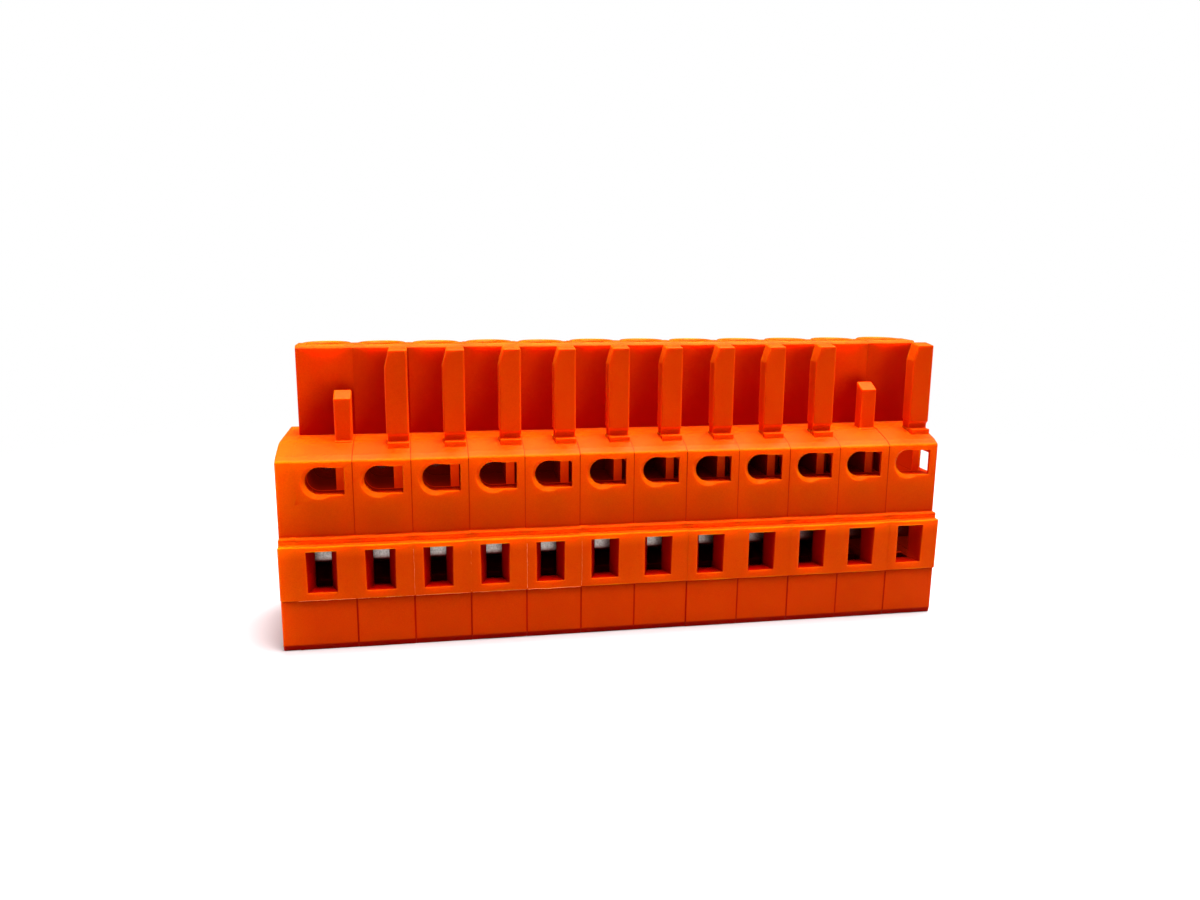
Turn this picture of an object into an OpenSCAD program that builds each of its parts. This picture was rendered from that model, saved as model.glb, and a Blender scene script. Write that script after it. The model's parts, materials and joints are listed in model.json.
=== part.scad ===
// Pluggable terminal connector: a row of single-pole housings, each with a spring clamp and a contact.
// It stands on its wire side. X runs along the row, -Y is the front with the operating slots and +Z is
// the mating side. In a pole, x counts from its left seam, d from its foremost edge, z from the wire side.

/* [Row] */
// Number of poles side by side
poles = 12; // [3:1:18]
// Distance from one pole to the next
pitch = 5.08; // [4.9:0.02:6]
// Thickness of the plate that closes the left end
end_t = 1.5; // [1.2:0.1:3]

/* [Body heights, from the wire side up] */
// Height of the strip beside the wire side
strip_h = 4.75; // [4:0.05:6]
// Height of the face that holds the operating slot
slot_face_h = 5; // [4.8:0.1:6]
// Height of the narrow band between the two steps above that face
band_h = 0.55; // [0.3:0.05:1]
// Height of the upper face that holds the test port
face_h = 6.8; // [6.6:0.05:9]
// Height of the narrow facet above that face
lip_h = 0.4; // [0.3:0.05:0.6]
// Height of the sloping shoulder above the facet
slope_h = 0.8; // [0.5:0.05:1.5]
// Height of the mating part above the shoulder
mate_h = 8.4; // [7:0.1:10]

/* [Body depths] */
// Setback of the slot's face at its lower edge
slot_lean = 0.12; // [0.04:0.02:0.3]
// Further setback of the strip at its upper edge
strip_in = 0.2; // [0.1:0.02:0.4]
// Further setback of the strip at its lower edge
strip_lean = 0.08; // [0:0.02:0.5]
// Depth of the step above the slot's face
step_d = 0.6; // [0.3:0.05:0.8]
// Depth of the ledge under the upper face
ledge_d = 0.6; // [0.3:0.05:0.8]
// Depth of the narrow facet
lip_d = 0.7; // [0.5:0.05:0.9]
// Depth of the sloping shoulder
slope_d = 2.5; // [2:0.1:3]
// Depth of the rear shoulder
rear_slope_d = 1.7; // [1.2:0.1:2.2]
// Height of the rear shoulder
rear_slope_h = 1.6; // [1:0.1:2.4]
// Radius of the body's rounded bends
bend_r = 0.25; // [0.1:0.05:0.4]
// Radius of the bend between shoulder and flat top
shoulder_r = 5; // [1:0.5:6]
// Height of the bevel at the wire side's long edges
base_h = 0.55; // [0.2:0.05:0.8]
// Depth of that bevel
base_d = 0.42; // [0.2:0.02:0.6]
// Radius of the small moulded edges
edge_r = 0.12; // [0.06:0.02:0.16]
// Gap at the seams above and below the middle zone where neighbours touch
seam_gap = 0.06; // [0.04:0.02:0.2]
// Height of the touching zone above the ledge
seam_h = 2.9; // [1:0.1:4]

/* [Walls] */
// Right side wall of a pole, which closes its neighbour's chamber
side_wall = 0.65; // [0.5:0.05:0.9]
// Foremost face to the clamp chamber
front_wall = 1.7; // [1.5:0.1:2]
// Wall behind the clamp chamber
back_wall = 1.6; // [1:0.1:2]
// Height of the chamber's floor above the strip
floor_up = 0.6; // [0.2:0.1:0.8]
// Wall between the chamber and the test port
roof_t = 0.6; // [0.4:0.1:0.8]

/* [Mating part] */
// Foremost face to the pin axis
axis_d = 10.16; // [9.9:0.02:10.6]
// Pin axis to the front of the mating part
mate_front = 2.96; // [2.6:0.02:3.1]
// Thickness of its front wall, which reaches from seam to seam
mate_wall = 0.9; // [0.6:0.05:1.1]
// Side gap between its round back and the seam
mate_gap = 0.1; // [0.05:0.01:0.2]
// Radius of the socket around the contact
socket_r = 1.7; // [1.55:0.05:1.8]
// Solid height under the socket, above the shoulder
socket_floor = 0.4; // [0.2:0.1:1]
// Bevel round the mating end
mate_bevel = 0.25; // [0.1:0.05:0.4]
// Fillet at the root of the mating part
root_r = 0.18; // [0.1:0.02:0.4]

/* [Operating slot] */
// Top of the slot's face to the slot
slot_down = 0.5; // [0.3:0.05:0.8]
// Centre of the slot from the left seam
slot_x = 2.2; // [2:0.02:2.5]
// Width of the slot at the face
slot_w = 2.65; // [2.2:0.05:3]
// Height of the slot
slot_h = 3.75; // [3:0.05:3.85]
// Width of the slot where it enters the chamber
throat_w = 1.4; // [1:0.05:1.8]

/* [Test port] */
// Centre of the port's round end from the left seam
port_x = 2.18; // [2:0.02:2.4]
// Height of the port's centre above the ledge
port_up = 5; // [4.8:0.02:5.2]
// Radius of the port
port_r = 1.22; // [1:0.02:1.3]
// Left seam to the port's square end
port_reach = 4.34; // [4.2:0.02:4.4]
// Depth of the port behind the upper face
port_d = 6.6; // [3:0.1:6.8]
// Depth and width of the countersink
port_sink = 0.35; // [0.2:0.05:0.5]
// Radius of the hole from the port to the contact
test_r = 0.6; // [0.5:0.05:0.8]
// Left seam to the rib behind the port's square end
rib_x = 3.5; // [3.4:0.05:3.7]
// Gap between that rib and the port's square end
rib_gap = 0.06; // [0.02:0.02:0.2]
// Depth of the port in front of the rib
pocket_d = 1.8; // [1:0.1:2]
// Thickness of the face beside the port
skin_t = 0.4; // [0.3:0.05:0.6]
// Depth of the side window behind that face
window_d = 2.7; // [1.5:0.1:3]
// Height of the side window
window_h = 2.1; // [1.2:0.1:2.3]

/* [Coding fingers and pegs] */
// Width of a finger
finger_w = 2; // [1.6:0.05:2.2]
// Thickness of a finger
finger_t = 1.6; // [1.2:0.05:1.8]
// Gap between a finger and the mating part behind it
finger_back = 2.46; // [2:0.02:2.8]
// Gap between a finger or peg and the right seam
finger_gap = 0.12; // [0.08:0.01:0.4]
// How far a finger stands above the mating part
finger_over = 0.08; // [0.02:0.02:0.3]
// Fall of the finger's sloping top
finger_fall = 0.2; // [0.1:0.05:0.5]
// Width of the taper at the finger's upper left edge
taper_w = 0.45; // [0.2:0.05:0.7]
// Height of that taper
taper_h = 1.7; // [1:0.1:2.5]
// Height of the break-off notch at the finger's root
notch_h = 0.8; // [0.5:0.05:1.2]
// Depth of that notch
notch_d = 0.35; // [0.2:0.05:0.7]
// Width of the finger's root and foot
root_w = 1.9; // [1.4:0.05:1.95]
// How far the foot stands out in front of a finger or peg
foot_out = 0.35; // [0.1:0.05:0.5]
// Width of a short peg
peg_w = 1.54; // [1.2:0.02:1.8]
// Thickness of a short peg
peg_t = 1.35; // [1.2:0.05:1.7]
// Height of a peg's front
peg_h = 3.85; // [2.5:0.05:5]
// Rise of a peg's sloping top
peg_rise = 0.7; // [0.3:0.05:1]
// Gap between a peg and the mating part behind it
peg_back = 1.4; // [1:0.05:1.8]

/* [Wire side] */
// Radius of the wire entry
wire_r = 1.75; // [1.5:0.05:1.9]
// Wall behind the wire entry
wire_wall = 1.39; // [1.2:0.01:2]
// Widening of the wire entry's funnel
funnel_out = 0.4; // [0.2:0.05:0.5]
// Depth of that funnel
funnel_h = 0.8; // [0.4:0.1:1.5]
// Width of the driver slot
driver_w = 2.7; // [2.2:0.1:3]
// Depth of the driver slot, front to back
driver_d = 2.3; // [1.8:0.1:2.6]
// Foremost face to the driver slot
driver_in = 1.7; // [1.5:0.1:2]

/* [Contact] */
// Thickness of the current bar
bar_t = 0.7; // [0.5:0.05:0.9]
// Width of the current bar and the socket's arms
bar_w = 1.7; // [1.3:0.05:1.9]
// Back of the current bar to the pin axis
bar_ahead = 0.6; // [0.4:0.02:0.66]
// Overlap of the wire entry's outline with the bar
bar_lap = 0.15; // [0:0.05:0.3]
// Chamber floor to the bar's lower end
bar_up = 0.6; // [0.3:0.1:1]
// Thickness of the plate that carries the arms
plate_t = 0.6; // [0.4:0.05:0.8]
// Thickness of the arms
arm_t = 0.4; // [0.3:0.05:0.5]
// Height of the arms from the plate to their grip
grip_h = 4.7; // [3.5:0.1:5]
// Height of the flared tips above the grip
tip_h = 1.2; // [0.8:0.1:1.4]
// Gap between the arms where they grip the pin
pin_gap = 0.9; // [0.7:0.05:1.1]
// Clearance round the contact in its housing
contact_clear = 0.08; // [0.04:0.01:0.15]

/* [Clamp spring] */
// Thickness of the spring strip
spring_t = 0.35; // [0.25:0.05:0.5]
// Chamber's front wall to the spring
spring_gap = 1.5; // [0.8:0.1:1.8]
// Chamber's roof to the spring
roof_gap = 0.3; // [0.2:0.05:0.6]
// Slot's top edge to the clamping leg
leg_drop = 2.05; // [1.6:0.05:2.3]
// Radius at the middle of the strip in the front bend
fold_r = 0.4; // [0.3:0.05:0.8]
// Side play between the cage window and the bar
cage_side = 0.15; // [0.1:0.01:0.2]
// Width of the strip beside the cage window
rail_w = 0.35; // [0.25:0.05:0.45]
// Length of the cage window in front of the bar
cage_d = 2.6; // [2:0.1:3]
// Play between the cage window and the bar
cage_play = 0.05; // [0.02:0.01:0.1]
// Depth of the strip's end that pulls on the wire
cross_d = 0.9; // [0.7:0.05:1.2]
// Clearance of the holding leg above the clamping leg
hold_gap = 0.5; // [0.3:0.05:0.8]

/* [Joining studs] */
// Radius of a stud
stud_r = 0.7; // [0.5:0.05:0.9]
// Length of a stud
stud_h = 0.5; // [0.3:0.05:0.55]
// Clearance round a stud in its hole
stud_clear = 0.05; // [0.03:0.01:0.1]

/* [Hidden] */
$fn = 48;
arc_steps = 5;
far = 1;             // how far a cut runs past the face that it opens
z_step = strip_h + slot_face_h;
z_slot = z_step - slot_down;
z_ledge = z_step + band_h;
z_bend = z_ledge + face_h;
z_lip = z_bend + lip_h;
z_flat = z_lip + slope_h;
z_top = z_flat + mate_h;
z_socket = z_flat + socket_floor;
strip_d = slot_lean + strip_in;
face_in = step_d + ledge_d;
lip_in = face_in + lip_d;
mid_x = pitch / 2;
wall_d = axis_d - mate_front;
mate_r = mid_x - mate_gap;
bar_back_d = axis_d - bar_ahead;
bar_front_d = bar_back_d - bar_t;
wire_d = bar_back_d + wire_r - bar_lap;
body_d = wire_d + wire_r + wire_wall;
row_w = poles * pitch + end_t;
port_z = z_ledge + port_up;
roof_z = port_z - port_r - roof_t;
chamber_back = body_d - back_wall;
slot_z = z_slot - slot_h;
leg_z = z_slot - leg_drop;
floor_h = strip_h + floor_up;
finger_in = wall_d - finger_back - finger_t;
peg_in = wall_d - peg_back - peg_t;
cage_w = bar_w + 2 * cage_side;
spring_w = cage_w + 2 * rail_w;
fork_half = sqrt(pow(socket_r - contact_clear, 2) - pow(bar_w / 2, 2));
stud_hole_r = stud_r + stud_clear;
stud_places = [
    [(driver_in + driver_d + wire_d - wire_r - funnel_out) / 2, strip_h / 2],
    [(bar_back_d + body_d) / 2, (roof_z + z_flat - rear_slope_h) / 2]
];

orange = [0.92, 0.34, 0.05];
tin = [0.78, 0.78, 0.76];
steel = [0.7, 0.71, 0.73];

function two_digits(k) = k < 10 ? str("0", k) : str(k);
function names(base) = [for (k = [1:poles]) str(base, "_", two_digits(k))];
function has_peg(k) = k == 1 || k == poles - 1;

// Outlines with rounded corners: each corner is [across, up, radius]

function unit(v) = v / norm(v);
function point(c) = [c[0], c[1]];
function straight(a, b, c) = abs(cross(unit(a - b), unit(c - b))) < 0.001;
function half_turn(a) = a > 180 ? a - 360 : a < -180 ? a + 360 : a;
function arc(m, r, from, sweep) = [
    for (i = [0:arc_steps])
        m + r * [cos(from + sweep * i / arc_steps), sin(from + sweep * i / arc_steps)]
];
function corner(a, b, c, r) =
    let (
        u = unit(a - b),
        v = unit(c - b),
        half = acos(u * v) / 2,
        middle = b + unit(u + v) * r / sin(half),
        s = b + u * r / tan(half) - middle,
        e = b + v * r / tan(half) - middle,
        from = atan2(s[1], s[0])
    )
    arc(middle, r, from, half_turn(atan2(e[1], e[0]) - from));
function rounded(corners) = [
    for (i = [0:len(corners) - 1])
        let (
            n = len(corners),
            a = point(corners[(i + n - 1) % n]),
            b = point(corners[i]),
            c = point(corners[(i + 1) % n]),
            r = corners[i][2]
        )
        each (r == 0 || straight(a, b, c) ? [b] : corner(a, b, c, r))
];

body_outline = rounded([
    [strip_d + strip_lean + base_d, 0, edge_r],
    [strip_d + strip_lean, base_h, edge_r],
    [strip_d, strip_h, 0],
    [slot_lean, strip_h, edge_r / 2],
    [0, z_step, edge_r],
    [step_d, z_step, edge_r / 2],
    [step_d, z_ledge, edge_r],
    [face_in, z_ledge, edge_r / 2],
    [face_in, z_bend, bend_r],
    [lip_in, z_lip, bend_r],
    [lip_in + slope_d, z_flat, shoulder_r],
    [body_d - rear_slope_d, z_flat, bend_r],
    [body_d, z_flat - rear_slope_h, bend_r],
    [body_d, base_h, edge_r],
    [body_d - base_d, 0, edge_r]
]);

// Frames and helpers

module in_row(k) {
    translate([end_t + (k - 1) * pitch - row_w / 2, -body_d / 2, 0])
        children();
}

// Carries an outline in d and z along x
module along_x(w, from = 0) {
    translate([from, 0, 0])
        rotate([90, 0, 90])
            linear_extrude(w)
                children();
}

// Round piece or hole along x at a place in d and z
module round_x(place, r, h, from) {
    translate([from, place[0], place[1]])
        rotate([0, 90, 0])
            cylinder(r = r, h = h);
}

module box(x, d, z) {
    translate([x[0], d[0], z[0]])
        cube([x[1] - x[0], d[1] - d[0], z[1] - z[0]]);
}

// Parts of a housing

module body() {
    difference() {
        along_x(pitch)
            polygon(body_outline);
        // the left side stands back above and below the zone where it touches its neighbour
        box([-far, seam_gap], [-far, body_d + far], [z_ledge + seam_h, z_top]);
        box([-far, seam_gap], [-far, body_d + far], [-far, strip_h - edge_r]);
    }
}

module mating_part() {
    // flat front from seam to seam and half-round back, with a bevelled end
    left = mate_gap;
    back = wall_d + mate_wall;
    translate([mid_x, axis_d, z_flat - root_r])
        cylinder(r = mate_r, h = root_r + mate_h - mate_bevel);
    translate([mid_x, axis_d, z_top - mate_bevel])
        cylinder(r1 = mate_r, r2 = mate_r - mate_bevel, h = mate_bevel);
    along_x(pitch)
        polygon([
            [wall_d, z_flat - root_r],
            [wall_d, z_top - mate_bevel],
            [wall_d + mate_bevel, z_top],
            [back, z_top],
            [back, z_flat - root_r]
        ]);
    box([left, pitch - left], [wall_d + mate_bevel, axis_d], [z_flat - root_r, z_top]);
    along_x(pitch)
        difference() {
            translate([wall_d - root_r, z_flat - root_r])
                square(2 * root_r);
            translate([wall_d - root_r, z_flat + root_r])
                circle(root_r);
        }
}

module finger() {
    right = pitch - finger_gap;
    back = finger_in + finger_t;
    neck_z = z_flat + notch_h;
    top_z = z_top + finger_over;
    difference() {
        along_x(finger_w, right - finger_w)
            polygon(rounded([
                [finger_in, neck_z, 0],
                [finger_in, top_z - finger_fall, edge_r],
                [back, top_z, edge_r],
                [back, z_bend, 0],
                [finger_in + notch_d, z_bend, 0],
                [finger_in + notch_d, neck_z - notch_d, 0]
            ]));
        // taper of the upper left edge
        translate([right - finger_w, back + far, top_z])
            rotate([90, 0, 0])
                linear_extrude(finger_t + 2 * far)
                    polygon([[-far, -taper_h], [0, -taper_h], [taper_w, 0], [taper_w, far], [-far, far]]);
        // narrower root
        box([right - finger_w - far, right - root_w], [finger_in - far, back + far], [z_flat, neck_z]);
    }
    foot(root_w, finger_in, finger_t);
}

// Low step that a finger or peg stands on
module foot(w, d, t) {
    right = pitch - finger_gap;
    box([right - w, right], [d - foot_out, d + t], [z_bend, z_flat]);
}

module peg() {
    along_x(peg_w, pitch - finger_gap - peg_w)
        polygon(rounded([
            [peg_in, z_bend, 0],
            [peg_in, z_flat + peg_h, edge_r],
            [peg_in + peg_t, z_flat + peg_h + peg_rise, edge_r],
            [peg_in + peg_t, z_bend, 0]
        ]));
    foot(peg_w, peg_in, peg_t);
}

module operating_slot() {
    // side walls that close in towards the chamber
    translate([slot_x, 0, slot_z])
        linear_extrude(slot_h)
            polygon([
                [-slot_w / 2, -far],
                [slot_w / 2, -far],
                [slot_w / 2, 0],
                [throat_w / 2, front_wall],
                [throat_w / 2, front_wall + far],
                [-throat_w / 2, front_wall + far],
                [-throat_w / 2, front_wall],
                [-slot_w / 2, 0]
            ]);
}

module test_port() {
    low = port_z - port_r;
    high = port_z + port_r;
    translate([port_x, face_in, port_z])
        rotate([-90, 0, 0]) {
            translate([0, 0, -far])
                cylinder(r = port_r, h = port_d + far);
            cylinder(r1 = port_r + port_sink, r2 = port_r, h = port_sink);
            cylinder(r = test_r, h = bar_front_d - face_in);
        }
    box([port_x, rib_x], [face_in - far, face_in + port_d], [low, high]);
    // square end, shallow in front of the rib
    box([port_x, port_reach], [face_in - far, face_in + pocket_d], [low, high]);
    // window in the side wall, beside the rib
    box([port_reach - rib_gap, pitch + far], [face_in + skin_t, face_in + skin_t + window_d],
        [low, low + window_h]);
}

module wire_side() {
    translate([mid_x, wire_d, -far])
        cylinder(r = wire_r, h = floor_h + 2 * far);
    translate([mid_x, wire_d, 0])
        cylinder(r1 = wire_r + funnel_out, r2 = wire_r, h = funnel_h);
    box([slot_x - driver_w / 2, slot_x + driver_w / 2], [driver_in, driver_in + driver_d],
        [-far, floor_h + far]);
}

module inner_room() {
    // chamber, open on the left
    box([-far, pitch - side_wall], [front_wall, chamber_back], [floor_h, roof_z]);
    // way of the current bar
    box([mid_x - bar_w / 2 - contact_clear, mid_x + bar_w / 2 + contact_clear],
        [bar_front_d - contact_clear, bar_back_d + contact_clear], [roof_z - far, z_socket + far]);
    // socket round the contact's arms
    translate([mid_x, axis_d, z_socket]) {
        cylinder(r = socket_r, h = z_top - z_socket + far);
        translate([0, 0, z_top - z_socket - mate_bevel])
            cylinder(r1 = socket_r, r2 = socket_r + mate_bevel, h = mate_bevel);
    }
}

// Pieces

module housing(k) {
    color(orange)
        in_row(k) {
            difference() {
                union() {
                    body();
                    mating_part();
                    if (has_peg(k))
                        peg();
                    else
                        finger();
                }
                inner_room();
                operating_slot();
                test_port();
                wire_side();
                for (p = stud_places)
                    round_x(p, stud_hole_r, stud_h + stud_clear + far, pitch - stud_h - stud_clear);
            }
            for (p = stud_places)
                round_x(p, stud_r, stud_h + side_wall / 2, -stud_h);
        }
}

module end_plate() {
    color(orange)
        in_row(1)
            difference() {
                along_x(end_t, -end_t)
                    polygon(body_outline);
                for (p = stud_places)
                    round_x(p, stud_hole_r, stud_h + stud_clear + far, -stud_h - stud_clear);
            }
}

// The contact's outline in d and z, with d counted from the pin axis: a bar below, two gripping arms above
module contact_outline() {
    low_z = floor_h + bar_up;
    plate_z = z_socket + plate_t;
    grip = pin_gap / 2;
    flare = (grip + fork_half - arm_t) / 2;
    arm = [
        [fork_half, z_socket],
        [fork_half, plate_z],
        [grip + arm_t, plate_z + grip_h],
        [flare + arm_t, plate_z + grip_h + tip_h],
        [flare, plate_z + grip_h + tip_h],
        [grip, plate_z + grip_h],
        [fork_half - arm_t, plate_z]
    ];
    polygon(concat(
        [[-bar_ahead - bar_t, low_z], [-bar_ahead, low_z], [-bar_ahead, z_socket]],
        arm,
        [for (i = [len(arm) - 1:-1:0]) [-arm[i][0], arm[i][1]]],
        [[-bar_ahead - bar_t, z_socket]]
    ));
}

module contact(k) {
    color(tin)
        in_row(k)
            along_x(bar_w, mid_x - bar_w / 2)
                translate([axis_d, 0])
                    contact_outline();
}

// Part of a ring of the spring's strip, cut by a window: [corner, size] in outer radii from the centre
module bend(centre, r, window) {
    reach = r + spring_t;
    intersection() {
        translate(centre)
            difference() {
                circle(r + spring_t / 2);
                circle(r - spring_t / 2);
            }
        translate(centre + reach * window[0])
            square(reach * window[1]);
    }
}

module clamp_spring(k) {
    front = front_wall + spring_gap;              // strip's front face
    hold = bar_front_d - spring_t;                // holding leg's front face
    loop_r = (bar_front_d - front - spring_t) / 2;
    loop_d = front + spring_t / 2 + loop_r;
    loop_z = roof_z - roof_gap - spring_t / 2 - loop_r;
    leg_low = leg_z - spring_t / 2;
    fold_d = front + spring_t / 2 + fold_r;
    fold_z = leg_z + fold_r;
    cage_end = bar_back_d + cage_play;
    color(steel)
        in_row(k)
            difference() {
                along_x(spring_w, mid_x - spring_w / 2) {
                    translate([hold, leg_z + spring_t / 2 + hold_gap])
                        square([spring_t, loop_z - leg_z - spring_t / 2 - hold_gap]);
                    bend([loop_d, loop_z], loop_r, [[-1, 0], [2, 1]]);
                    translate([front, fold_z])
                        square([spring_t, loop_z - fold_z]);
                    bend([fold_d, fold_z], fold_r, [[-1, -1], [1, 1]]);
                    translate([fold_d, leg_low])
                        square([cage_end + cross_d - fold_d, spring_t]);
                }
                // cage window round the bar
                box([mid_x - cage_w / 2, mid_x + cage_w / 2], [bar_front_d - cage_d, cage_end],
                    [leg_low - far, leg_low + spring_t + hold_gap / 2]);
            }
}

end_plate();
for (k = [1:poles]) {
    housing(k);
    contact(k);
    clamp_spring(k);
}
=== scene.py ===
import json
import math
import bmesh
import bpy
import numpy as np
from mathutils import Matrix, Vector

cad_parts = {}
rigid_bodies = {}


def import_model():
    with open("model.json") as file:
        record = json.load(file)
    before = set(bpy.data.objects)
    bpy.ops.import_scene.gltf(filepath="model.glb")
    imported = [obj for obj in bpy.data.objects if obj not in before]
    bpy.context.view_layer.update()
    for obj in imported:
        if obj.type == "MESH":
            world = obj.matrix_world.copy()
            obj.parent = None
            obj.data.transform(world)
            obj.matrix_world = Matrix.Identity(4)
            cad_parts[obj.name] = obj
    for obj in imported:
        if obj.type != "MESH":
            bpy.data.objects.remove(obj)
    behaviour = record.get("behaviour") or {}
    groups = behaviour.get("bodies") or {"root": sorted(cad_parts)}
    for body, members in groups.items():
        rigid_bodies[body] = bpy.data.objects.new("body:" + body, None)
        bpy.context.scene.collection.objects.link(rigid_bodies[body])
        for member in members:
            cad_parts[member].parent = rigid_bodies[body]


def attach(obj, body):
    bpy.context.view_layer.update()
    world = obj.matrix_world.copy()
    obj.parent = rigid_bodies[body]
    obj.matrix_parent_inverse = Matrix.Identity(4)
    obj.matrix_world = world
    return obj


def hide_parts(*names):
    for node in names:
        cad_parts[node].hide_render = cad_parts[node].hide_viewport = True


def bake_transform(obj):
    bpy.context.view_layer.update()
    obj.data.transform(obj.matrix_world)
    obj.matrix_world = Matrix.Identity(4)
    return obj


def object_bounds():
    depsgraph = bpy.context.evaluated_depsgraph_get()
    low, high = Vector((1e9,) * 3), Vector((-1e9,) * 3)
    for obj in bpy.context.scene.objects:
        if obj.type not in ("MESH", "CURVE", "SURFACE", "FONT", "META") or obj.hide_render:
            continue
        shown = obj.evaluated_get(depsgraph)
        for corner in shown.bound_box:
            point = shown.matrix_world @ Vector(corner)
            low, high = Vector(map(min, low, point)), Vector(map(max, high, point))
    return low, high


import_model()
cadLow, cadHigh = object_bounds()
mm = 0.001
poleNames = ["%02d" % k for k in range(1, 13)]
# pole spacing, first seam in x and foremost edge in y, in mm
row = {"pitch": 5.08, "seam": -29.73, "front": -7.15}


# short ways to build nodes: a number is set on its socket, another node's output is linked to it
def feed(tree, socket, value):
    if isinstance(value, bpy.types.NodeSocket):
        tree.links.new(value, socket)
    else:
        socket.default_value = value


def addNode(tree, kind, inputs=None, **settings):
    node = tree.nodes.new(kind)
    for key, value in settings.items():
        setattr(node, key, value)
    for key, value in (inputs or {}).items():
        feed(tree, node.inputs[key], value)
    return node


def sums(tree, operation, *values):
    return addNode(tree, "ShaderNodeMath", dict(enumerate(values)), operation=operation).outputs["Value"]


def ramp(tree, value, low, high, start=0.0, end=1.0, kind="LINEAR"):
    inputs = {"Value": value, "From Min": low, "From Max": high, "To Min": start, "To Max": end}
    return addNode(tree, "ShaderNodeMapRange", inputs, interpolation_type=kind).outputs["Result"]


def between(tree, value, low, high):
    # one inside the range, else zero
    return sums(tree, "COMPARE", value, (low + high) / 2, (high - low) / 2)


def mixed(tree, factor, a, b, mode="MIX"):
    inputs = {"Factor": factor, "A": a, "B": b}
    return addNode(tree, "ShaderNodeMix", inputs, data_type="RGBA", blend_type=mode).outputs["Result"]


def noise(tree, where, scale, detail):
    inputs = {"Vector": where, "Scale": scale, "Detail": detail}
    return addNode(tree, "ShaderNodeTexNoise", inputs).outputs["Fac"]


def bumps(tree, height, strength, distance, **under):
    inputs = {"Height": height, "Strength": strength, "Distance": distance, **under}
    return addNode(tree, "ShaderNodeBump", inputs).outputs["Normal"]


def colourRamp(tree, value, stops):
    node = addNode(tree, "ShaderNodeValToRGB", {"Fac": value})
    marks = node.color_ramp.elements
    for n, (place, colour) in enumerate(stops):
        mark = marks[n] if n < 2 else marks.new(place)       # a new ramp has two marks already
        mark.position = place
        mark.color = (*colour, 1)
    return node.outputs["Color"]


def rowPlace(tree, where):
    # mm from the first seam, mm behind the foremost edge and mm above the table
    inputs = {"Vector": where, "Location": (-row["seam"], -row["front"], 0), "Scale": [1 / mm] * 3}
    place = addNode(tree, "ShaderNodeMapping", inputs).outputs["Vector"]
    return addNode(tree, "ShaderNodeSeparateXYZ", {"Vector": place}).outputs


def newMaterial(name):
    material = bpy.data.materials.new(name)
    material.use_nodes = True
    tree = material.node_tree
    tree.nodes.clear()
    shader = addNode(tree, "ShaderNodeBsdfPrincipled")
    addNode(tree, "ShaderNodeOutputMaterial", {"Surface": shader.outputs["BSDF"]})
    return material, tree, shader, addNode(tree, "ShaderNodeTexCoord").outputs["Object"]


# places on the housings that the plastic's finish follows, in mm
spots = {"fingers": 7.0, "above": (16.0, 17.0), "port": (13.0, 17.4), "rib": (2.92, 3.08),
         "frontal": -0.05, "nook": 8.0, "samples": 8}


def spotValues(tree, where):
    # each spot's place, the way it faces, how closed in it is, and whether it is on a finger or a rib
    place = rowPlace(tree, where)
    normal = addNode(tree, "ShaderNodeNewGeometry").outputs["True Normal"]
    way = addNode(tree, "ShaderNodeSeparateXYZ", {"Vector": normal}).outputs
    nook = addNode(tree, "ShaderNodeAmbientOcclusion", {"Distance": spots["nook"] * mm},
                   samples=spots["samples"], only_local=True)
    spot = {"x": place["X"], "d": place["Y"], "z": place["Z"], "up": way["Z"], "nook": nook.outputs["AO"]}
    spot["frontal"] = sums(tree, "LESS_THAN", way["Y"], spots["frontal"])
    spot["toSeam"] = sums(tree, "PINGPONG", spot["x"], row["pitch"] / 2)
    spot["ahead"] = sums(tree, "LESS_THAN", spot["d"], spots["fingers"])  # fingers, pegs and their feet
    spot["above"] = ramp(tree, spot["z"], *spots["above"])
    spot["finger"] = sums(tree, "MULTIPLY", spot["ahead"], spot["above"])
    spot["port"] = between(tree, spot["z"], *spots["port"])
    spot["rib"] = sums(tree, "MULTIPLY", spot["port"], between(tree, spot["d"], *spots["rib"]))
    return spot


# painted shade: spots closed in by their own piece get the dark red recess colour; open spots keep the
# orange tone; face and step get a lift, so that the ports don't redden them
shadeLimits = {"closed": (0.72, 0.95), "lifted": (9.6, 17.6), "lift": 0.35, "upward": (0.3, 0.7),
           "rim": (26.0, 26.6, 0.0, 0.7)}


def unshadedSpots(tree, spot):
    lifted = between(tree, spot["z"], *shadeLimits["lifted"])
    free = sums(tree, "MULTIPLY_ADD", lifted, shadeLimits["lift"], spot["nook"])
    free = ramp(tree, free, *shadeLimits["closed"], kind="SMOOTHSTEP")
    upward = ramp(tree, spot["up"], *shadeLimits["upward"], kind="SMOOTHSTEP")
    shown = sums(tree, "MULTIPLY", sums(tree, "MAXIMUM", upward, spot["ahead"]), spot["above"])
    rim = ramp(tree, spot["z"], *shadeLimits["rim"])
    top = sums(tree, "MAXIMUM", sums(tree, "MAXIMUM", rim, shown), spot["rib"])
    return sums(tree, "MAXIMUM", free, top)


# painted shade in the seams between the poles: mm from the seam, dark to plain, wide on the lower strip and
# thin on the face
seamShadeSizes = {"strip": (0.05, 0.10), "stripTop": 4.7, "face": (0.015, 0.05), "faceSpan": (10.35, 18.35),
          "plainTo": 1.0, "foot": (0.45, 0.60)}


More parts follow.
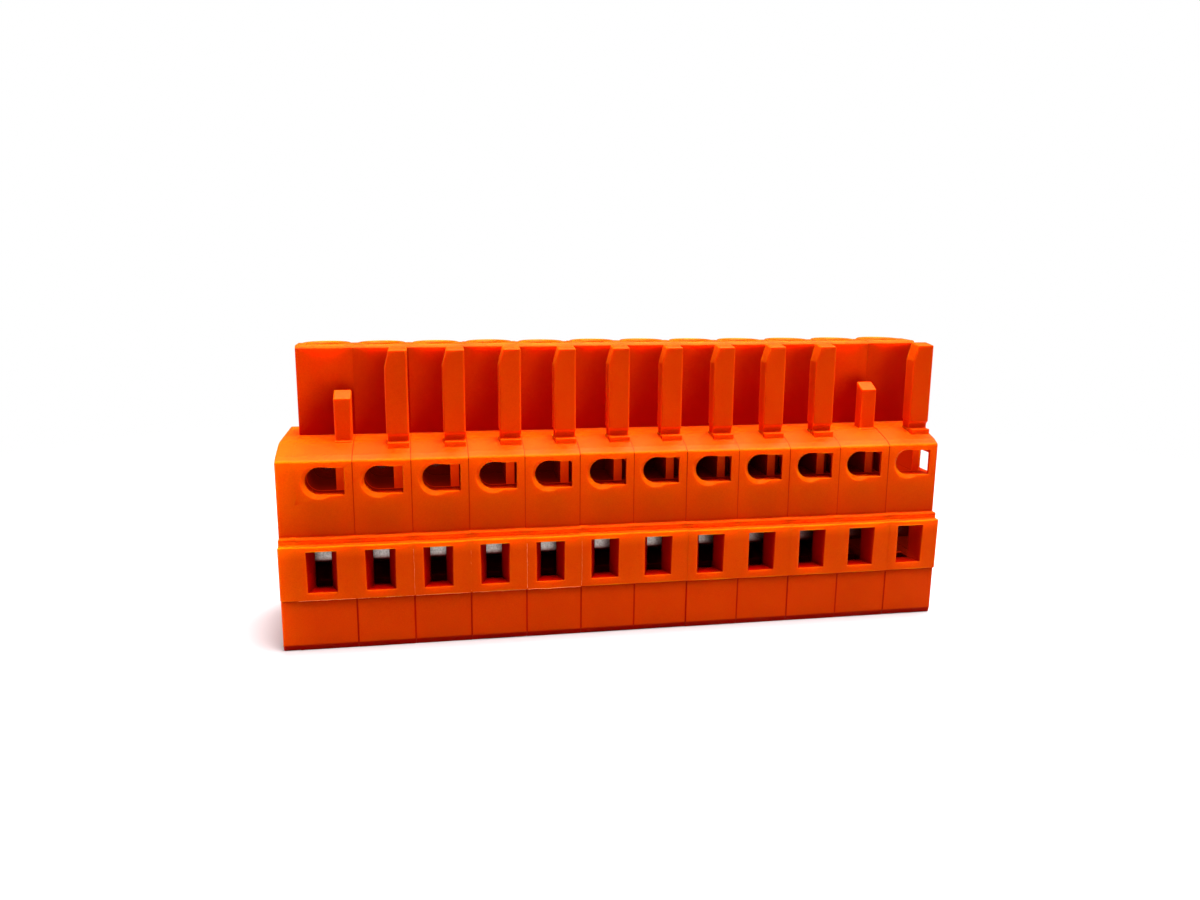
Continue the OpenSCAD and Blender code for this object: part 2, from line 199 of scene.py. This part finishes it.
def seamShade(tree, spot):
    offStrip = sums(tree, "GREATER_THAN", spot["z"], seamShadeSizes["stripTop"])
    offFace = sums(tree, "SUBTRACT", 1.0, between(tree, spot["z"], *seamShadeSizes["faceSpan"]))
    wide = sums(tree, "MAXIMUM", ramp(tree, spot["toSeam"], *seamShadeSizes["strip"]), offStrip)
    thin = sums(tree, "MAXIMUM", ramp(tree, spot["toSeam"], *seamShadeSizes["face"]), offFace)
    firstSeam = sums(tree, "LESS_THAN", spot["x"], seamShadeSizes["plainTo"])  # the end plate's joint stays plain
    seams = sums(tree, "MAXIMUM", sums(tree, "MINIMUM", wide, thin), firstSeam)
    return sums(tree, "MINIMUM", ramp(tree, spot["z"], *seamShadeSizes["foot"]), seams)


# painted light and shade as tints: on the front by height in mm (red and green share), painted shade on the
# fingers, painted light on the end plate and a painted highlight on rounded upper edges
lightTints = {"heights": ((4.62, 0.80, 0.82), (4.70, 0.84, 1.12), (8.6, 0.86, 1.15), (9.45, 1.10, 1.80),
                     (10.05, 0.98, 1.60), (10.12, 0.66, 0.66), (13.0, 0.84, 1.12), (16.0, 1.06, 1.45),
                     (17.0, 1.30, 2.0), (17.3, 1.0, 1.0)),
         "span": 20.0, "finger": (0.92, 0.97, 1.0, 1), "end": (1.18, 1.45, 1.0, 1), "endAt": (-1.0, 1.5),
         "edge": (1.0, 1.5, 1.0, 1), "highlightWay": ((0.08, 0.0), (0.30, 1.0), (0.80, 1.0), (0.93, 0.0))}


def lightTinted(tree, spot, tone):
    # painted shade: the fingers are made a little darker
    tone = mixed(tree, spot["finger"], tone, lightTints["finger"], "MULTIPLY")
    # painted light and shade on the front faces: lighter or darker by height
    stops = [(z / lightTints["span"], (red, green, 1.0)) for z, red, green in lightTints["heights"]]
    byHeight = colourRamp(tree, sums(tree, "DIVIDE", spot["z"], lightTints["span"]), stops)
    tone = mixed(tree, spot["frontal"], tone, byHeight, "MULTIPLY")
    # painted light: the end plate is made lighter
    tone = mixed(tree, ramp(tree, spot["x"], *lightTints["endAt"], 1.0, 0.0), tone, lightTints["end"], "MULTIPLY")
    # painted highlight: edges that face partly upwards are made yellower and lighter
    stops = [(way, (level, level, level)) for way, level in lightTints["highlightWay"]]
    edgeHighlight = colourRamp(tree, spot["up"], stops)
    return mixed(tree, edgeHighlight, tone, lightTints["edge"], "MULTIPLY")


# painted glow: red light emitted where light would come through thin walls: from and to a place in mm, and
# its strength there
glowPaint = {"colour": (1.0, 0.03, 0.0, 1), "shut": (0.05, 0.55), "port": (11.73, 33.73, 0.13, 0.004),
        "portDepth": (0.65, 5.15, 1.3, 0.25), "last": (54.23, 57.73, 0.0, 0.34), "lastSpan": (5.2, 17.4),
        "rib": (23.73, 37.73, 0.32, 0.10), "neck": 0.15, "neckSpan": (18.3, 19.1),
        "neckDepth": (3.22, 3.58)}


def paintedGlow(tree, spot):
    shut = ramp(tree, spot["nook"], *glowPaint["shut"], 1.0, 0.0)
    inPort = sums(tree, "MULTIPLY", shut, spot["port"])     # port walls, most at the left
    along = ramp(tree, spot["x"], *glowPaint["port"])
    inward = ramp(tree, spot["d"], *glowPaint["portDepth"])
    ports = sums(tree, "MULTIPLY", along, inward)
    ports = sums(tree, "MULTIPLY", inPort, ports)
    lastSide = ramp(tree, spot["x"], *glowPaint["last"])                             # open side of the last pole
    last = sums(tree, "MULTIPLY", between(tree, spot["z"], *glowPaint["lastSpan"]), lastSide)
    light = sums(tree, "MULTIPLY_ADD", last, shut, ports)
    light = sums(tree, "MULTIPLY_ADD", spot["rib"], ramp(tree, spot["x"], *glowPaint["rib"]), light)
    notch = sums(tree, "MULTIPLY", between(tree, spot["d"], *glowPaint["neckDepth"]), spot["frontal"])
    neck = sums(tree, "MULTIPLY", between(tree, spot["z"], *glowPaint["neckSpan"]), notch)
    return sums(tree, "MULTIPLY_ADD", neck, glowPaint["neck"], light)                # thin neck of a finger


# orange moulded plastic: lets some red light through, satin, with a fine grain; with painted shade in
# recesses and seams, painted light and shade tints and a painted glow
plastic = {"colour": (0.74, 0.051, 0.0004, 1), "deep": (0.62, 0.038, 0.0003, 1), "mottle": (1.4, -0.9),
           "recessShade": (0.32, 0.0006, 0.0001, 1), "cloud": (160.0, 3.0), "speck": (9000.0, 2.0),
           "ripple": (420.0, 1.0), "gloss": (0.3, 0.7, 0.43, 0.54), "wave": (0.05, 0.0002),
           "grain": (0.12, 0.00002), "through": 1.0, "reach": (1.0, 0.6, 0.1),
           "reachScale": (0.1, 1.6, 0.0002, 0.0026), "fingerLess": -0.7, "bending": 1.5,
           "sheen": 0.08, "sheenTint": (1.0, 0.50, 0.03, 1)}


def orangePlastic():
    material, tree, shader, where = newMaterial("orangePlastic")
    spot = spotValues(tree, where)
    cloud = noise(tree, where, *plastic["cloud"])           # flow marks, some mm wide
    speck = noise(tree, where, *plastic["speck"])           # grain of the mould
    ripple = noise(tree, where, *plastic["ripple"])         # slow unevenness of the faces
    mottle = sums(tree, "MULTIPLY_ADD", sums(tree, "ADD", cloud, speck), *plastic["mottle"])
    tone = lightTinted(tree, spot, mixed(tree, mottle, plastic["deep"], plastic["colour"]))
    shadeFree = sums(tree, "MINIMUM", seamShade(tree, spot), unshadedSpots(tree, spot))
    nearSeam = ramp(tree, spot["toSeam"], *plastic["reachScale"])   # less light is lost beside a seam
    inFinger = sums(tree, "MULTIPLY_ADD", spot["finger"], plastic["fingerLess"], 1.0)
    slow = bumps(tree, ripple, *plastic["wave"])
    finish = {
        # painted shade: closed-in walls and the seams are painted the dark red recess colour
        "Base Color": mixed(tree, shadeFree, plastic["recessShade"], tone),   # closed-in walls and joints turn red
        "Roughness": ramp(tree, cloud, *plastic["gloss"]),
        "Normal": bumps(tree, speck, *plastic["grain"], Normal=slow),
        "Subsurface Weight": plastic["through"],
        "Subsurface Radius": plastic["reach"],
        "Subsurface Scale": sums(tree, "MULTIPLY", nearSeam, inFinger),
        # painted glow: the plastic emits red light in the ports, the last pole, the ribs and the fingers'
        # necks
        "Emission Color": glowPaint["colour"],
        "Emission Strength": paintedGlow(tree, spot),
        "IOR": plastic["bending"],
        "Specular IOR Level": plastic["sheen"],
        "Specular Tint": plastic["sheenTint"],
    }
    for name, value in finish.items():
        feed(tree, shader.inputs[name], value)
    return material


# rolled strip of the clamp springs, with painted shade low down and in the right poles where little light
# gets in, and tinned sheet of the contacts
metals = {"spring": {"colour": (0.75, 0.70, 0.66, 1), "dark": (0.05, 0.045, 0.04, 1), "roughness": 0.40,
                     "stretch": (7000, 7000, 7000), "dim": (0.12, 0.01, 0.003, 1),
                     "low": (7.4, 7.8, 0.10, 1.0), "right": (33.73, 51.73, 1.0, 0.10)},
          "tin": {"colour": (0.72, 0.72, 0.70, 1), "dark": (0.60, 0.60, 0.58, 1), "roughness": 0.36,
                  "stretch": (3000, 3000, 500)},
          "lines": (1.0, 3.0), "grain": (0.12, 0.00002)}


def metalStrip(name):
    look = metals[name]
    material, tree, shader, where = newMaterial(name + "Metal")
    along = addNode(tree, "ShaderNodeMapping", {"Vector": where, "Scale": look["stretch"]})
    lines = noise(tree, along.outputs["Vector"], *metals["lines"])
    tone = mixed(tree, lines, look["dark"], look["colour"])
    # painted shade: the spring's colour is darkened low down and in the right poles
    if "dim" in look:
        place = rowPlace(tree, where)
        low = ramp(tree, place["Z"], *look["low"])
        right = ramp(tree, place["X"], *look["right"])
        level = sums(tree, "MULTIPLY", low, right)
        tone = mixed(tree, level, look["dim"], tone)
    feed(tree, shader.inputs["Base Color"], tone)
    feed(tree, shader.inputs["Normal"], bumps(tree, lines, *metals["grain"]))
    feed(tree, shader.inputs["Metallic"], 1.0)
    feed(tree, shader.inputs["Roughness"], look["roughness"])
    return material


orange = orangePlastic()
springMetal = metalStrip("spring")
tinMetal = metalStrip("tin")
print("materials made")


def putMesh(name, points, faces, material):
    # a closed surface from points in mm, with its faces turned outwards
    mesh = bpy.data.meshes.new(name)
    mesh.from_pydata((points * mm).tolist(), [], faces)
    work = bmesh.new()
    work.from_mesh(mesh)
    bmesh.ops.recalc_face_normals(work, faces=work.faces)
    work.to_mesh(mesh)
    work.free()
    mesh.materials.append(material)
    mesh.shade_smooth()
    return putObject(name, mesh)


def putObject(name, data):
    item = bpy.data.objects.new(name, data)
    bpy.context.scene.collection.objects.link(item)
    return item


# housings and end plate: the CAD shapes with softened edges, each set a hair off its neighbours,
# as they snap together; seam edges are given as up to this height, this soft
moulding = {"edge": 0.05, "outer": 0.18, "finger": 0.13, "fingerFrom": 20.0, "segments": 3,
            "sharper": 32, "crease": 18, "flush": 0.1, "onEnd": 0.01,
            "play": 0.03, "sink": 0.01, "seed": 5, "merge": 0.002, "flatter": 0.6, "near": 0.004,
            "relief": 0.06, "side": 0.10, "mateFrom": 18.2, "base": 0.55, "baseOut": 0.28, "baseBack": 1.4,
            "seams": ((4.6, 0.05), (10.2, 0.0), (18.2, 0.03), (99, 0.0))}


def softEdges(piece, width, segments, angle, limit="ANGLE"):
    bevel = piece.modifiers.new("softEdges", "BEVEL")
    bevel.width = width * mm
    bevel.segments = segments
    bevel.limit_method = limit
    bevel.angle_limit = math.radians(angle)
    bevel.use_clamp_overlap = False
    bevel.loop_slide = False
    bevel.miter_outer = "MITER_ARC"
    flat = piece.modifiers.new("flatFaces", "WEIGHTED_NORMAL")     # large faces keep their own direction
    flat.keep_sharp = True
    flat.weight = 100


def closeGaps(mesh, left):
    # sides that stand back for the solids' clearance come up to the seam,
    # and the foot comes forward to a steep band
    flatList = np.empty(len(mesh.vertices) * 3)
    mesh.vertices.foreach_get("co", flatList)
    x, d, z = (flatList.reshape(-1, 3) / mm - [left, row["front"], 0]).T
    wide, side, near = row["pitch"], moulding["side"], moulding["near"]
    mate = z > moulding["mateFrom"]
    toLeft = (np.abs(x - moulding["relief"]) < near) | mate & (np.abs(x - side) < near)
    toRight = mate & (np.abs(x - wide + side) < near)
    newX = np.where(toRight, wide, np.where(toLeft, 0.0, x))
    front = (z < moulding["base"]) & (d < moulding["baseBack"])
    newD = np.where(front, d - moulding["baseOut"] * (1 - z / moulding["base"]), d)
    place = np.stack([newX + left, newD + row["front"], z], -1)
    mesh.vertices.foreach_set("co", (place * mm).ravel())


def edgeWidth(edge, left):
    # how round an edge of a moulding is, from where it lies
    ends = np.array([v.co for v in edge.verts]) / mm
    x, near = ends[:, 0] - left, moulding["near"]
    wide, side = row["pitch"], moulding["side"]
    if any(np.all(np.abs(x - plane) < near) for plane in (0, moulding["relief"], side, wide - side, wide)):
        if abs(ends[0, 0] - row["seam"]) < moulding["flush"]:
            return 0.0                                          # the end plate sits flush
        return next(soft for top, soft in moulding["seams"] if ends[:, 2].min() < top)
    if ends[:, 2].max() > moulding["fingerFrom"] and ends[:, 1].max() < row["front"] + spots["fingers"]:
        return moulding["finger"]
    onEnd = ends[:, 0].max() < cadLow[0] / mm + moulding["onEnd"]
    return moulding["outer"] if onEnd else moulding["edge"]


def mouldedCopy(node, shift, left):
    mesh = bpy.data.objects[node].data.copy()
    work = bmesh.new()
    work.from_mesh(mesh)
    bmesh.ops.remove_doubles(work, verts=work.verts, dist=moulding["merge"] * mm)
    flatter = math.radians(moulding["flatter"])
    bmesh.ops.dissolve_limit(work, angle_limit=flatter, verts=work.verts, edges=work.edges)
    # faces of many corners are cut up, so that holes in them stay open
    bmesh.ops.triangulate(work, faces=[f for f in work.faces if len(f.verts) > 4])
    soft = work.edges.layers.float.new("bevel_weight_edge")
    for edge in work.edges:
        if edge.calc_face_angle(0) > math.radians(moulding["sharper"]):
            edge[soft] = edgeWidth(edge, left) / moulding["outer"]
    work.to_mesh(mesh)
    work.free()
    closeGaps(mesh, left)
    mesh.transform(Matrix.Translation(Vector(shift) * mm))
    mesh.materials.clear()
    mesh.materials.append(orange)
    mesh.shade_smooth()
    mesh.set_sharp_from_angle(angle=math.radians(moulding["crease"]))
    piece = putObject(node + "_moulded", mesh)
    softEdges(piece, moulding["outer"], moulding["segments"], moulding["sharper"], "WEIGHT")
    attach(piece, "row")
    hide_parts(node)


chance = np.random.default_rng(moulding["seed"])
for k, node in enumerate(["end_plate"] + ["housing_" + n for n in poleNames]):
    inward, up = chance.uniform(-1, 1, 2) * moulding["play"]
    mouldedCopy(node, (0, inward, max(up, -moulding["sink"])), row["seam"] + (k - 1) * row["pitch"])
print("mouldings made")


# flash: thin uneven ridges of pressed-out plastic, at the lower edge of some slot faces and at some seams;
# their paler colour paints a highlight on them
flash = {"tall": 0.05, "wide": 0.07, "steps": 90, "seed": 11, "roughness": 0.45, "speck": (4000.0, 2.0),
         "colour": (0.80, 0.09, 0.01, 1), "highlightTone": (0.92, 0.22, 0.07, 1), "level": (0.30, 0.02, 1.2),
         "sway": 0.03, "sunk": 0.02, "inset": 0.1, "beside": 0.03, "margin": 4, "edge": (0.11, 4.76),
         "face": (0.10, 4.9, 0.0, 9.2), "edges": {1: 0.25, 2: 0.6, 3: 0.3, 4: 0.25, 5: 0.15},
         "seams": {2: 0.5, 3: 0.7, 4: 0.8, 5: 0.3}}


def flashPlastic():
    material, tree, shader, where = newMaterial("flashPlastic")
    speck = noise(tree, where, *flash["speck"])
    # painted highlight: the ridges are mottled towards a pale orange
    feed(tree, shader.inputs["Base Color"], mixed(tree, speck, flash["colour"], flash["highlightTone"]))
    feed(tree, shader.inputs["Roughness"], flash["roughness"])
    return material


def smoothChance(chance, count, reach):
    margin = flash["margin"]
    values = chance.normal(size=count + 2 * margin)
    return np.convolve(values, np.ones(reach) / reach, "same")[margin:-margin]


def ridge(start, end, side, strength, chance):
    # three points round the ridge at each step along a line; its height is smoothed chance, cut off below
    steps, (level, low, high) = flash["steps"], flash["level"]
    height = np.clip(level + smoothChance(chance, steps, 5), low, high) * strength
    height[[0, -1]] = low
    side = np.array(side)
    along = np.linspace(start, end, steps) + smoothChance(chance, steps, 9)[:, None] * side * flash["sway"]
    half = side * flash["wide"] / 2 * (0.5 + 0.5 * height[:, None])
    tip = np.array([0, -1, 0]) * flash["tall"] * height[:, None]
    back = np.array([0, flash["sunk"], 0])
    rings = np.stack([along - half + back, along + half + back, along + tip], 1)
    index = np.arange(steps * 3).reshape(steps, 3)
    turn = np.roll(index, -1, 1)
    quads = np.stack([index[:-1], index[1:], turn[1:], turn[:-1]], -1).reshape(-1, 4)
    return rings.reshape(-1, 3), quads.tolist() + [index[0].tolist(), index[-1, ::-1].tolist()]


def flashLines():
    # pole, start, end, way across and strength of each ridge
    lines = []
    for k, strength in flash["edges"].items():
        left = row["seam"] + (k - 1) * row["pitch"] + flash["inset"]
        right = row["seam"] + k * row["pitch"] - flash["inset"]
        lines.append((k, [left, *flash["edge"]], [right, *flash["edge"]], (0, 0, 1), strength))
    for k, strength in flash["seams"].items():
        x = row["seam"] + k * row["pitch"] + flash["beside"]
        lines.append((k + 1, [x, *flash["face"][:2]], [x, *flash["face"][2:]], (1, 0, 0), strength))
    return lines


def flashPieces():
    material = flashPlastic()
    chance = np.random.default_rng(flash["seed"])
    for count, (k, start, end, side, strength) in enumerate(flashLines()):
        points, faces = ridge(np.array(start), np.array(end), side, strength, chance)
        piece = putMesh("flash_%02d" % count, points + [0, row["front"], 0], faces, material)
        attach(piece, "row")
        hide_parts("housing_%02d" % k)


flashPieces()
print("flash made")


# contacts: the CAD forks, tinned and with rounded sheet edges
contactLook = {"edge": 0.06, "segments": 2, "sharper": 30}
for n in poleNames:
    contact = bpy.data.objects["contact_" + n]
    contact.data.materials.clear()
    contact.data.materials.append(tinMetal)
    softEdges(contact, contactLook["edge"], contactLook["segments"], contactLook["sharper"])
print("contacts finished")


# clamp springs: one strip bent along a path in depth and height, mm inside a pole;
# the window is given as half its width, its start and its end
spring = {"thick": 0.35, "width": 2.70, "front": 3.20, "bar": 8.86, "roof": 13.18, "leg": 7.20,
          "fold": 0.40, "window": (1.00, 6.26, 9.61), "end": 10.51, "hold": 0.50, "edge": 0.05,
          "segments": 2, "sharper": 50, "crease": 40}


def stripShell(path, across, keep, thick):
    # a sheet of two parameters, step along the path and place across it, thick along the path's normal;
    # keep says which cells of the sheet are metal, and every edge of that area gets a wall
    tangent = np.gradient(path, axis=0)
    tangent /= np.linalg.norm(tangent, axis=1)[:, None]
    normal = np.stack([-tangent[:, 1], tangent[:, 0]], -1) * thick / 2
    n, m = len(path), len(across)
    sheets = []
    for side in (1, -1):
        dz = path + side * normal
        depth, height = np.repeat(dz[:, :1], m, 1), np.repeat(dz[:, 1:], m, 1)
        sheets.append(np.stack([np.broadcast_to(across, (n, m)), depth, height], -1))
    points = np.concatenate([s.reshape(-1, 3) for s in sheets])
    index = np.arange(n * m).reshape(n, m)
    quad = np.stack([index[:-1, :-1], index[:-1, 1:], index[1:, 1:], index[1:, :-1]], -1)
    cells = quad[keep]
    faces = [cells, cells[:, ::-1] + n * m]
    full = np.pad(keep, 1)
    inner = full[1:-1, 1:-1]
    before, after, left, right = full[:-2, 1:-1], full[2:, 1:-1], full[1:-1, :-2], full[1:-1, 2:]
    for neighbour, a, b in ((before, 0, 1), (after, 2, 3), (left, 3, 0), (right, 1, 2)):
        rim = quad[inner & ~neighbour]
        faces.append(np.stack([rim[:, b], rim[:, a], rim[:, a] + n * m, rim[:, b] + n * m], -1))
    return points, np.concatenate(faces)


def arcPath(centre, radius, start, stop, steps):
    # a circle's points by angle
    angle = np.radians(np.linspace(start, stop, steps))
    return np.stack([centre[0] + radius * np.cos(angle), centre[1] + radius * np.sin(angle)], -1)


def joinPaths(*parts):
    return np.concatenate([parts[0]] + [p[1:] for p in parts[1:]])


def stripPiece(name, path, across, keep, k):
    points, faces = stripShell(path, across, keep, spring["thick"])
    used, faces = np.unique(faces, return_inverse=True)
    points = points[used] + [row["seam"] + (k - 1) * row["pitch"], row["front"], 0]
    piece = putMesh(name, points, faces.reshape(-1, 4).tolist(), springMetal)
    piece.data.set_sharp_from_angle(angle=math.radians(spring["crease"]))
    softEdges(piece, spring["edge"], spring["segments"], spring["sharper"])
    return piece


halfT = spring["thick"] / 2
holdD = spring["bar"] - halfT                              # middle of the strip on the holding leg
frontD = spring["front"] + halfT                           # and on the front leg
loopR = (holdD - frontD) / 2
loopD = (holdD + frontD) / 2
loopZ = spring["roof"] - halfT - loopR
legZ = spring["leg"]
foldD, foldZ = frontD + spring["fold"], legZ + spring["fold"]
halfWindow, windowD, windowEnd = spring["window"]
holdPath = joinPaths(np.linspace([holdD, legZ + halfT + spring["hold"]], [holdD, loopZ], 8),
                     arcPath([loopD, loopZ], loopR, 0, 180, 33))
legPath = joinPaths(np.linspace([frontD, loopZ], [frontD, foldZ], 8),
                    arcPath([foldD, foldZ], spring["fold"], 180, 270, 13),
                    np.linspace([foldD, legZ], [windowD, legZ], 5),
                    np.linspace([windowD, legZ], [windowEnd, legZ], 8),
                    np.linspace([windowEnd, legZ], [spring["end"], legZ], 5))
halfW = spring["width"] / 2
offMiddle = np.array([-halfW, -halfWindow, -halfWindow / 2, 0, halfWindow / 2, halfWindow, halfW])
across = row["pitch"] / 2 + offMiddle
holdKeep = np.ones((len(holdPath) - 1, len(across) - 1), bool)
legKeep = np.ones((len(legPath) - 1, len(across) - 1), bool)
midStep = (legPath[:-1, 0] + legPath[1:, 0]) / 2
onLeg = np.abs(legPath[:-1, 1] - legZ) < 1e-6
inWindow = onLeg & (midStep > windowD) & (midStep < windowEnd)
legKeep[np.ix_(np.flatnonzero(inWindow), [1, 2, 3, 4])] = False     # the window takes the middle cells
for k, n in enumerate(poleNames, 1):
    loop = stripPiece("springLoop_" + n, holdPath, across, holdKeep, k)
    leg = stripPiece("springLeg_" + n, legPath, across, legKeep, k)
    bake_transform(loop)
    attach(leg, "clamp_" + n)
    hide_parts("clamp_spring_" + n)
    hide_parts("clamp_spring_" + n)
print("springs made")


# stage: a wide white table that melts into the white room, and soft light from above
stage = {"floor": (0.36, 0.38, 0.51, 1), "floorDark": (0.34, 0.36, 0.485, 1),
         "seen": (0.415, 0.405, 0.55, 1), "cloud": (9.0, 2.0), "roughness": 0.6, "half": 0.4,
         "fade": (0.05, 0.13, 1.0, 0.0), "sky": 0.06}
warm = (1.0, 0.92, 0.68)
lights = [
    {"name": "overhead", "place": (0.13, 0.01, 0.75), "aim": (0, 0, 0.01),
     "size": (0.80, 0.45), "power": 32.0},
    {"name": "left", "place": (-0.60, 0.05, 0.20), "aim": (-0.03, 0, 0.012),
     "size": (0.30, 0.30), "power": 2.0},
]


def tableTop():
    material, tree, shader, where = newMaterial("whiteTable")
    tone = mixed(tree, noise(tree, where, *stage["cloud"]), stage["floorDark"], stage["floor"])
    rays = addNode(tree, "ShaderNodeLightPath").outputs["Is Camera Ray"]
    far = addNode(tree, "ShaderNodeVectorMath", {0: where}, operation="LENGTH").outputs["Value"]
    tone = mixed(tree, rays, tone, stage["seen"])           # looks whiter than it lights
    feed(tree, shader.inputs["Base Color"], tone)
    feed(tree, shader.inputs["Roughness"], stage["roughness"])
    feed(tree, shader.inputs["Specular IOR Level"], 0.0)
    feed(tree, shader.inputs["Alpha"], ramp(tree, far, *stage["fade"], kind="SMOOTHSTEP"))
    half = stage["half"]
    mesh = bpy.data.meshes.new("table")
    corners = [(-half, -half, 0), (half, -half, 0), (half, half, 0), (-half, half, 0)]
    mesh.from_pydata(corners, [], [(0, 1, 2, 3)])
    mesh.materials.append(material)
    putObject("table", mesh)


def softLight(look):
    data = bpy.data.lights.new(look["name"], "AREA")
    data.shape = "RECTANGLE"
    data.size, data.size_y = look["size"]
    data.energy = look["power"]
    data.color = warm
    lamp = putObject(look["name"], data)
    lamp.location = look["place"]
    lamp.rotation_euler = (Vector(look["aim"]) - Vector(look["place"])).to_track_quat("-Z", "Y").to_euler()


def whiteRoom():
    world = bpy.data.worlds.new("whiteRoom")
    bpy.context.scene.world = world
    world.use_nodes = True
    tree = world.node_tree
    tree.nodes.clear()
    white = (1, 1, 1, 1)
    dim = {"Color": white, "Strength": stage["sky"]}
    lit = addNode(tree, "ShaderNodeBackground", dim).outputs["Background"]
    seen = addNode(tree, "ShaderNodeBackground", {"Color": white, "Strength": 1.0}).outputs["Background"]
    rays = addNode(tree, "ShaderNodeLightPath").outputs["Is Camera Ray"]
    mix = addNode(tree, "ShaderNodeMixShader", {"Fac": rays, 1: lit, 2: seen})
    addNode(tree, "ShaderNodeOutputWorld", {"Surface": mix.outputs["Shader"]})


tableTop()
for look in lights:
    softLight(look)
whiteRoom()


# camera: a phone held near the row, a little left of its middle and looking down;
# focal length in pixels, place in mm
camera = {"focal": 952.05, "frameWidth": 1200, "sensor": 36, "yaw": 0.18117, "pitch": 0.19972,
          "roll": 0.0086, "place": (-17.942, -90.253, 34.801), "clip": (0.002, 20)}


def placeCamera():
    yaw, pitch, roll = camera["yaw"], camera["pitch"], camera["roll"]
    ahead = Vector((math.sin(yaw) * math.cos(pitch), math.cos(yaw) * math.cos(pitch), -math.sin(pitch)))
    right = Vector((math.cos(yaw), -math.sin(yaw), 0))
    up = right.cross(ahead)
    rolledRight = right * math.cos(roll) + up * math.sin(roll)
    rolledUp = up * math.cos(roll) - right * math.sin(roll)
    data = bpy.data.cameras.new("phone")
    data.sensor_width = camera["sensor"]
    data.sensor_fit = "HORIZONTAL"
    data.lens = camera["focal"] / camera["frameWidth"] * camera["sensor"]
    data.clip_start, data.clip_end = camera["clip"]
    view = putObject("phone", data)
    turn = Matrix((rolledRight, rolledUp, -ahead)).transposed().to_4x4()
    view.matrix_world = Matrix.Translation(Vector(camera["place"]) * mm) @ turn
    bpy.context.scene.camera = view


placeCamera()
bpy.context.scene.view_settings.view_transform = "Standard"
print("stage, light and camera set")
